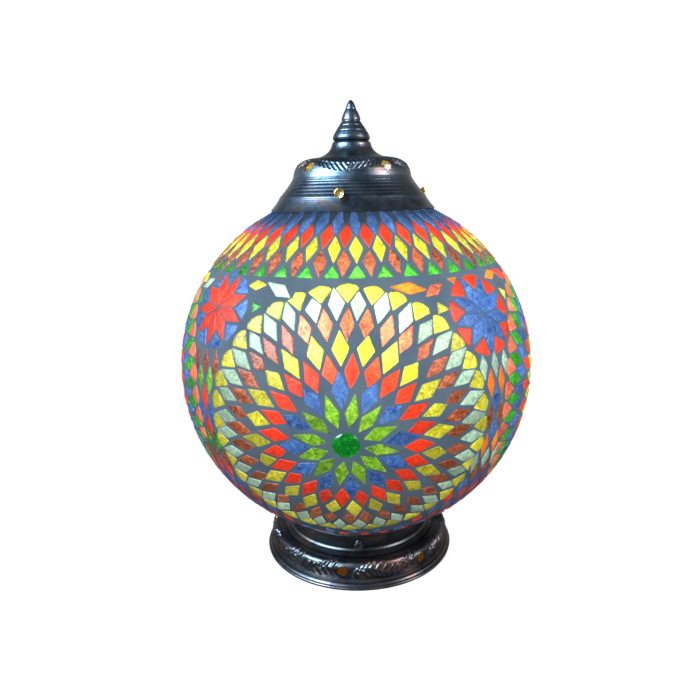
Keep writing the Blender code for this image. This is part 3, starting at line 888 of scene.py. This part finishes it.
def cut_holes(piece, prisms):
    """Cuts prisms, each (outline points, direction, depth), out of a piece."""
    mesh = bpy.data.meshes.new("hole cutters")
    tool = bmesh.new()
    for outline, along, depth in prisms:
        ends = [[tool.verts.new(point + along * side * depth / 2) for point in outline] for side in (-1, 1)]
        count = len(outline)
        for index in range(count):
            after = (index + 1) % count
            tool.faces.new((ends[0][index], ends[0][after], ends[1][after], ends[1][index]))
        tool.faces.new(ends[0][::-1])
        tool.faces.new(ends[1])
    bmesh.ops.recalc_face_normals(tool, faces=tool.faces)
    tool.to_mesh(mesh)
    tool.free()
    cutter = added("hole cutters", mesh)
    cut = piece.modifiers.new("holes", "BOOLEAN")
    cut.operation = "DIFFERENCE"
    cut.solver = "EXACT"
    cut.object = cutter
    graph = bpy.context.evaluated_depsgraph_get()
    finished = bpy.data.meshes.new_from_object(piece.evaluated_get(graph))
    piece.modifiers.clear()
    piece.data = finished
    bpy.data.objects.remove(cutter)
    piece.data.set_sharp_from_angle(angle=math.radians(42))


def around(centre, along, radii):
    """Outline round a centre, across a direction, with its radii in order."""
    side = along.cross(Vector((0, 0, 1))).normalized()
    up = side.cross(along)
    count = len(radii)
    turns = [2 * math.pi * k / count for k in range(count)]
    return [centre + (side * math.sin(turn) + up * math.cos(turn)) * radius for turn, radius in zip(turns, radii)]


def radial_prism(azimuth, seat_radius, height, radii, depth, tilt=0.0):
    """A prism that runs through a wall at an azimuth, raised by tilt degrees."""
    level = direction(azimuth, 0)
    along = direction(azimuth, tilt)
    centre = level * seat_radius * MM + Vector((0, 0, height * MM))
    return around(centre, along, [radius * MM for radius in radii]), along, depth * MM


def smooth(value, low, high):
    t = min(max((value - low) / (high - low), 0.0), 1.0)
    return t * t * (3 - 2 * t)


def stroke(u, v, centre_u, centre_v, half_length, half_width, lean):
    """Share from 0 to 1 of a chased stroke at a place (u, v), all in millimetres and degrees."""
    turn = math.radians(lean)
    du, dv = u - centre_u, v - centre_v
    along = du * math.cos(turn) + dv * math.sin(turn)
    across = -du * math.sin(turn) + dv * math.cos(turn)
    past = max(abs(along) - half_length, 0.0)
    return 1.0 - smooth(math.hypot(past, across), 0.25 * half_width, half_width)


STAR_AZIMUTHS = (-45.2, 35.6, 134.8, -144.4)
STAR_GAPS = [(a, ((b - a) % 360)) for a, b in zip(STAR_AZIMUTHS, STAR_AZIMUTHS[1:] + STAR_AZIMUTHS[:1])]


def dome_v(radius, height):
    """Place down the dome of the cap, in millimetres from its upper edge."""
    return (345.6 - height) * 0.9 + (radius - 29.0) * 0.42


GROOVES_LOW, GROOVES_HIGH, GROOVES_RUN = 316.2, 327.6, 11.4
CHEVRON_STEP = 4.4
FERN_STEP = 4.8


def swag(share):
    """How far down the dome the chevrons hang, from the middle (0) to a star hole (1)."""
    return 15.0 - 8.0 * share ** 2


def cap_relief(azimuth, radius, height):
    rise = 0.0
    if GROOVES_LOW < height < GROOVES_HIGH:
        groove = math.cos((height - GROOVES_LOW) / GROOVES_RUN * 2 * math.pi * 4.5)
        rise -= 0.22 * (0.5 - 0.5 * groove)
    if height < GROOVES_LOW:
        rise -= 0.05 * (0.5 + 0.5 * math.cos(height * 2 * math.pi / 1.3))
    if 326.0 < height < 345.8 and radius > 28.0:
        down = dome_v(radius, height)
        for start, span in STAR_GAPS:
            along = (azimuth - start) % 360
            if along > span:
                continue
            width = 46.0 * math.radians(1)
            u, whole = along * width, span * width
            middle = abs(u - whole / 2) / (whole / 2)
            side = 1.0 if u < whole / 2 else -1.0
            hang = swag(middle)
            nearest = round(u / CHEVRON_STEP)
            for number in (nearest - 1, nearest, nearest + 1):
                spot = number * CHEVRON_STEP
                share = abs(spot - whole / 2) / (whole / 2)
                if share > 0.84:
                    continue
                drop = swag(share)
                rise -= 0.62 * stroke(u, down, spot, drop, 3.4, 1.1, 52 * side)
                rise -= 0.50 * stroke(u, down, spot + 1.3 * side, drop - 7.4, 2.6, 1.0, -42 * side)
            rise += 0.34 * math.exp(-((down - hang + 3.4) / 0.8) ** 2) * (1 if middle < 0.84 else 0)
            break
    return rise


FOOT_HOLE_COUNT = 7
FOOT_HOLES = [-10.3 + 360.0 * k / FOOT_HOLE_COUNT for k in range(FOOT_HOLE_COUNT)]


def fern_stem(u, wave):
    """How far down the foot the stem of the fern runs."""
    return 7.0 + 2.9 * math.sin(u * wave * 2 + 0.6)


def foot_relief(azimuth, radius, height):
    """A running fern between the round holes of the foot."""
    if not (7.6 < height < 21.9 and radius > 72.5):
        return 0.0
    down = (21.9 - height) * 0.93 + (82.0 - radius) * -0.25
    span = 360.0 / FOOT_HOLE_COUNT
    along = (azimuth - FOOT_HOLES[0]) % span
    width = 79.0 * math.radians(1)
    u, whole = along * width, span * width
    wave = 2 * math.pi / whole
    stem = fern_stem(u, wave)
    near_hole = min(u, whole - u)
    fade = smooth(near_hole, 5.0, 7.5)
    rise = 0.55 * math.exp(-((down - stem) / 0.8) ** 2) * fade
    nearest = round(u / FERN_STEP)
    for number in range(nearest - 1, nearest + 2):
        spot = number * FERN_STEP
        if not 6.0 < spot < whole - 6.0:
            continue
        base = fern_stem(spot, wave)
        for side in (-1, 1):
            rise += 0.85 * stroke(u, down, spot + 1.2, base + side * 3.3, 2.8, 1.4, side * 48)
            rise -= 0.45 * stroke(u, down, spot + 3.0, base + side * 3.8, 2.4, 0.9, side * 48)
    ring = math.exp(-((math.hypot(near_hole, down - 7.6) - 5.3) / 0.5) ** 2)
    return rise + 0.30 * ring


def knurl(azimuth, radius, height):
    return -0.14 + 0.14 * math.cos(math.radians(azimuth) * 24) if 3.0 < height < 5.6 and radius > 3.0 else 0.0


HEAD_OUTLINE = [(0.0, 5.4), (1.6, 5.45), (2.4, 5.8), (3.1, 6.0), (3.6, 5.7), (3.8, 5.2), (3.75, 4.4),
                (3.3, 3.4), (2.6, 2.6), (2.2, 1.9), (2.2, 1.3), (2.8, 0.9), (2.8, 0.2), (2.6, 0.0), (0.0, 0.0)]


def make_screw_heads(prefix, azimuth, height, seat, material, slot):
    for number in (1, 2, 3):
        along = direction(azimuth + 120 * (number - 1), 0)
        turn = along.to_track_quat("Z", "Y").to_matrix().to_4x4()
        frame_at = Matrix.Translation(along * seat * MM + Vector((0, 0, height * MM))) @ turn
        turned_solid(f"{prefix}_knob_{number}", HEAD_OUTLINE, 78, 0.5, material, f"{prefix}_{number}_head",
                     f"{prefix}_head_{number}", knurl, frame_at)


def make_gems(material):
    """Four moulded glass cabochons, one in the middle of each medallion."""
    outline = [(0.0, 1.5)]
    outline += [(9.5 * math.sin(turn), 1.5 - 3.4 * (1 - math.cos(turn)))
                for turn in (math.radians(step * 7.5) for step in range(1, 13))]
    outline += [(9.5, -3.1), (9.2, -3.5), (0.0, -3.5)]
    for quarter in range(4):
        ray = direction(MEDALLION_AZIMUTH + 90 * quarter, MEDALLION_LATITUDE)
        turn = ray.to_track_quat("Z", "Y").to_matrix().to_4x4()
        turned_solid(f"gem_{quarter + 1}", outline, 72, 0.6, material, "globe",
                     f"medallion_gem_{quarter + 1}", None, Matrix.Translation(place(ray)) @ turn)


# Build the looks

# Thumb screws: azimuth of the first in degrees, height in millimetres
CAP_SCREWS = (-8.4, 317.6)
GALLERY_SCREWS = (-0.5, 31.7)


def screw_holes(azimuth, height, seat_radius, depth):
    """Prisms for the holes of three thumb screws."""
    return [radial_prism(azimuth + 120 * k, seat_radius, height, [2.35] * 24, depth) for k in range(3)]


def paint_nodes(material, *names):
    """Gives CAD nodes that keep their shape a finished material."""
    for name in names:
        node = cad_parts[name]
        node.data.materials.clear()
        node.data.materials.append(material)


TILES = [(colour, turned_out(softened(corners))) for colour, corners in parted(lay_out_mosaic())]
make_tiles(TILES, {name: glass_material(name) for name in GLASSES})
make_grout([outline for colour, outline in TILES], grout_material())
make_gems(gem_material())

METAL = antique_metal_material("blue black antique metal", (0.045, 0.062, 0.084), (0.110, 0.145, 0.185),
                               (0.160, 0.085, 0.062))
# A darker, browner copy of the cap's metal; its brown is partly a painted reflection of the red tiles.
FOOT_METAL = antique_metal_material("brown black antique metal with painted tile reflection", (0.034, 0.033, 0.036), (0.074, 0.078, 0.090),
                                    (0.150, 0.078, 0.052))
BRASS = plain_metal_material("turned brass", (0.780, 0.520, 0.130), 0.16)
STEEL = plain_metal_material("zinc plated steel", (0.560, 0.570, 0.590), 0.26)
# The insides of the cap and the foot carry a painted glow in place of the bulb's light.
CAP_INSIDE = gilt_with_painted_glow_material("gilt inside of the cap with painted bulb glow", (0.560, 0.410, 0.105), 0.70)
FOOT_INSIDE = gilt_with_painted_glow_material("amber inside of the foot with painted bulb glow", (0.620, 0.290, 0.026), 1.25)

cap = pressed_shell("cap_pressing", CAP_OUTLINE, 1.0, 560, 0.42, cap_relief, (METAL, CAP_INSIDE), "cap",
                    "cap_shell")
STAR_RADII = [5.9 if point % 2 == 0 else 3.9 for point in range(16)]
star_holes = [radial_prism(azimuth, seat_radius=45.0, height=338.0, radii=STAR_RADII, depth=12.0, tilt=38.0)
              for azimuth in STAR_AZIMUTHS]
cut_holes(cap, star_holes + screw_holes(*CAP_SCREWS, seat_radius=58.5, depth=9.0))

foot = pressed_shell("foot_pressing", FOOT_OUTLINE, 1.2, 800, 0.5, foot_relief, (FOOT_METAL, FOOT_INSIDE),
                     "lamp_base", "foot_shell")
foot_holes = [radial_prism(azimuth, seat_radius=79.0, height=14.5, radii=[4.2] * 36, depth=12.0, tilt=8.0)
              for azimuth in FOOT_HOLES]
foot_holes += [radial_prism(180.0, seat_radius=79.0, height=13.0, radii=[5.3] * 36, depth=12.0)]
cut_holes(foot, foot_holes)

gallery = pressed_shell("gallery_pressing", GALLERY_OUTLINE, 1.0, 320, 0.5,
                        lambda azimuth, radius, height: 0.0, (FOOT_METAL, FOOT_METAL), "lamp_base",
                        "fitter_gallery")
cut_holes(gallery, screw_holes(*GALLERY_SCREWS, seat_radius=63.2, depth=6.0))


def finial_relief(azimuth, radius, height):
    rings = sum(math.exp(-((height - level) / 0.35) ** 2) for level in (382.9, 374.1, 370.4, 366.4))
    return -0.28 * rings


FINIAL_SOCKET = [(2.5, 358.3), (2.5, 366.0), (0.0, 366.0)]
turned_solid("finial_turning", FINIAL_OUTLINE + FINIAL_SOCKET, 112, 0.35, METAL, "cap",
             "finial", finial_relief)
make_screw_heads("cap_screw", *CAP_SCREWS, 61.2, BRASS, "brass")
make_screw_heads("gallery_screw", *GALLERY_SCREWS, 64.6, FOOT_METAL, "antique_metal")

paint_nodes(globe_glass_material(), "globe_glass")
paint_nodes(STEEL, "riser_tube", "lower_washer", "lower_lock_nut", "upper_washer", "upper_lock_nut",
            "finial_stud", "finial_washer", "finial_nut", "bulb_contact", "bulb_screw_cap",
            *[f"{prefix}_{kind}_{k}" for prefix in ("gallery_screw", "cap_screw") for kind in ("nut", "stud")
              for k in (1, 2, 3)])
paint_nodes(BRASS, "riser_sleeve", "lampholder_screw_shell", "lampholder_contact", "terminal_screw_1",
            "terminal_screw_2")
paint_nodes(dull_material("black felt", (0.030, 0.030, 0.034), 0.90, 1400, 0.0009), "felt_pad")
paint_nodes(dull_material("pressed fibre board", (0.150, 0.110, 0.075), 0.72, 700, 0.0004), "bottom_cover")
paint_nodes(dull_material("black rubber", (0.018, 0.018, 0.018), 0.62, 900, 0.0002), "cord_grommet")
paint_nodes(dull_material("black moulded plastic", (0.022, 0.022, 0.024), 0.34, 1100, 0.0001),
            "lampholder_cap", "lampholder_body", "bulb_insulator")
paint_nodes(dull_material("unglazed ceramic", (0.800, 0.770, 0.700), 0.50, 800, 0.0002, 0.85),
            "lampholder_core")
paint_nodes(dull_material("white moulded plastic", (0.800, 0.800, 0.780), 0.32, 900, 0.0001, 0.92),
            "bulb_body")
paint_nodes(dull_material("opal lit plastic", (0.950, 0.920, 0.840), 0.35, 500, 0.0001, 0.95, 0.45),
            "bulb_diffuser")
paint_nodes(plain_metal_material("plain aluminium", (0.700, 0.710, 0.730), 0.30), "bulb_led_board")
paint_nodes(dull_material("green circuit board", (0.030, 0.190, 0.070), 0.36, 600, 0.0001), "bulb_driver")


# Floor, light and camera

BACKDROP_RADIUS = 20.0         # metres, inside the reach of the camera at any pose
BACKDROP_HEIGHT = 16.0


def make_floor():
    """A white floor and a round wall, which the camera sees and which light nothing."""
    mesh = bpy.data.meshes.new("floor")
    build = bmesh.new()
    bmesh.ops.create_circle(build, cap_ends=True, segments=96, radius=BACKDROP_RADIUS)
    bmesh.ops.create_cone(build, cap_ends=False, segments=96, radius1=BACKDROP_RADIUS,
                          radius2=BACKDROP_RADIUS, depth=BACKDROP_HEIGHT,
                          matrix=Matrix.Translation((0.0, 0.0, BACKDROP_HEIGHT / 2)))
    build.to_mesh(mesh)
    build.free()
    floor = added("floor", mesh)
    paint = Paint("pale floor")
    cloud = paint.noise(3.0, 3.0)
    paint.set(Base_Color=paint.blend(cloud, (0.90, 0.90, 0.90), (0.93, 0.93, 0.93)), Roughness=0.75,
              Emission_Color=(1.0, 1.0, 1.0), Emission_Strength=0.88)
    mesh.materials.append(paint.material)
    floor.visible_diffuse = False
    floor.visible_glossy = False
    floor.visible_transmission = False


def make_world():
    """Grey light from all round, dimmer from above and from below. The white behind the lamp is the wall."""
    world = bpy.data.worlds.new("studio")
    world.use_nodes = True
    nodes, links = world.node_tree.nodes, world.node_tree.links
    place_in_sky = nodes.new("ShaderNodeTexCoord")
    split = nodes.new("ShaderNodeSeparateXYZ")
    links.new(place_in_sky.outputs["Generated"], split.inputs[0])
    fades = []
    for numbers in ((0.28, 0.40, 0.50, 0.15), (-0.03, -0.01, 0.40, 1.0)):
        fade = nodes.new("ShaderNodeMapRange")
        fade.interpolation_type = "SMOOTHSTEP"
        for socket, number in zip(fade.inputs[1:], numbers):
            socket.default_value = number
        links.new(split.outputs[2], fade.inputs[0])
        fades.append(fade.outputs[0])
    strength = nodes.new("ShaderNodeMath")
    strength.operation = "MULTIPLY"
    for fade, socket in zip(fades, strength.inputs):
        links.new(fade, socket)
    background = nodes["Background"]
    background.inputs["Color"].default_value = (1.0, 1.0, 1.0, 1.0)
    links.new(strength.outputs[0], background.inputs["Strength"])
    bpy.context.scene.world = world


def add_light(name, kind, at, power, colour):
    light = added(name, bpy.data.lights.new(name, kind))
    light.location = at
    light.data.energy = power
    light.data.color = colour
    light.visible_diffuse = False
    return light


def make_window(name, at, aim, size, power, colour):
    """A rectangular light that shows on glossy surfaces only."""
    light = add_light(name, "AREA", at, power, colour)
    light.data.shape = "RECTANGLE"
    light.data.size, light.data.size_y = size
    light.rotation_euler = (Vector(aim) - Vector(at)).to_track_quat("-Z", "Y").to_euler()


def make_bulb_light(at, radius, power):
    """The bright spot that the lit bulb makes in the coloured glass. Only glass shows this light.

    It rides on the globe and not on the bulb, so that a lifted globe still looks lit."""
    light = add_light("bulb light", "POINT", at, power, (1.0, 0.95, 0.84))
    light.data.shadow_soft_size = radius
    light.visible_camera = False
    light.visible_glossy = False
    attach(light, "globe")


# The camera: place in metres, then turn, tilt and roll in degrees
CAMERA_AT = (0.0, -0.5234, 0.3173)
CAMERA_TURN, CAMERA_TILT, CAMERA_ROLL = 0.53, 90 - 14.36, -1.25


def make_camera():
    lens = bpy.data.cameras.new("camera")
    lens.lens = 31.41
    lens.sensor_width = 36.0
    camera = added("camera", lens)
    camera.matrix_world = (Matrix.Translation(CAMERA_AT)
                           @ Matrix.Rotation(math.radians(CAMERA_TURN), 4, "Z")
                           @ Matrix.Rotation(math.radians(CAMERA_TILT), 4, "X")
                           @ Matrix.Rotation(math.radians(CAMERA_ROLL), 4, "Z"))
    bpy.context.scene.camera = camera


make_floor()
make_world()
make_window("window", (-1.00, -0.70, 0.85), (0, 0, 0.25), (1.1, 0.9), 115.0, (0.56, 0.80, 1.0))
make_window("fill", (0.95, -0.55, 0.65), (0, 0, 0.2), (0.40, 0.7), 14.0, (0.92, 0.95, 1.00))
make_bulb_light((0.0, 0.0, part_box("bulb_diffuser")[0][2] + 0.022), 0.044, 560.0)
make_camera()
bpy.context.scene.view_settings.view_transform = "Standard"
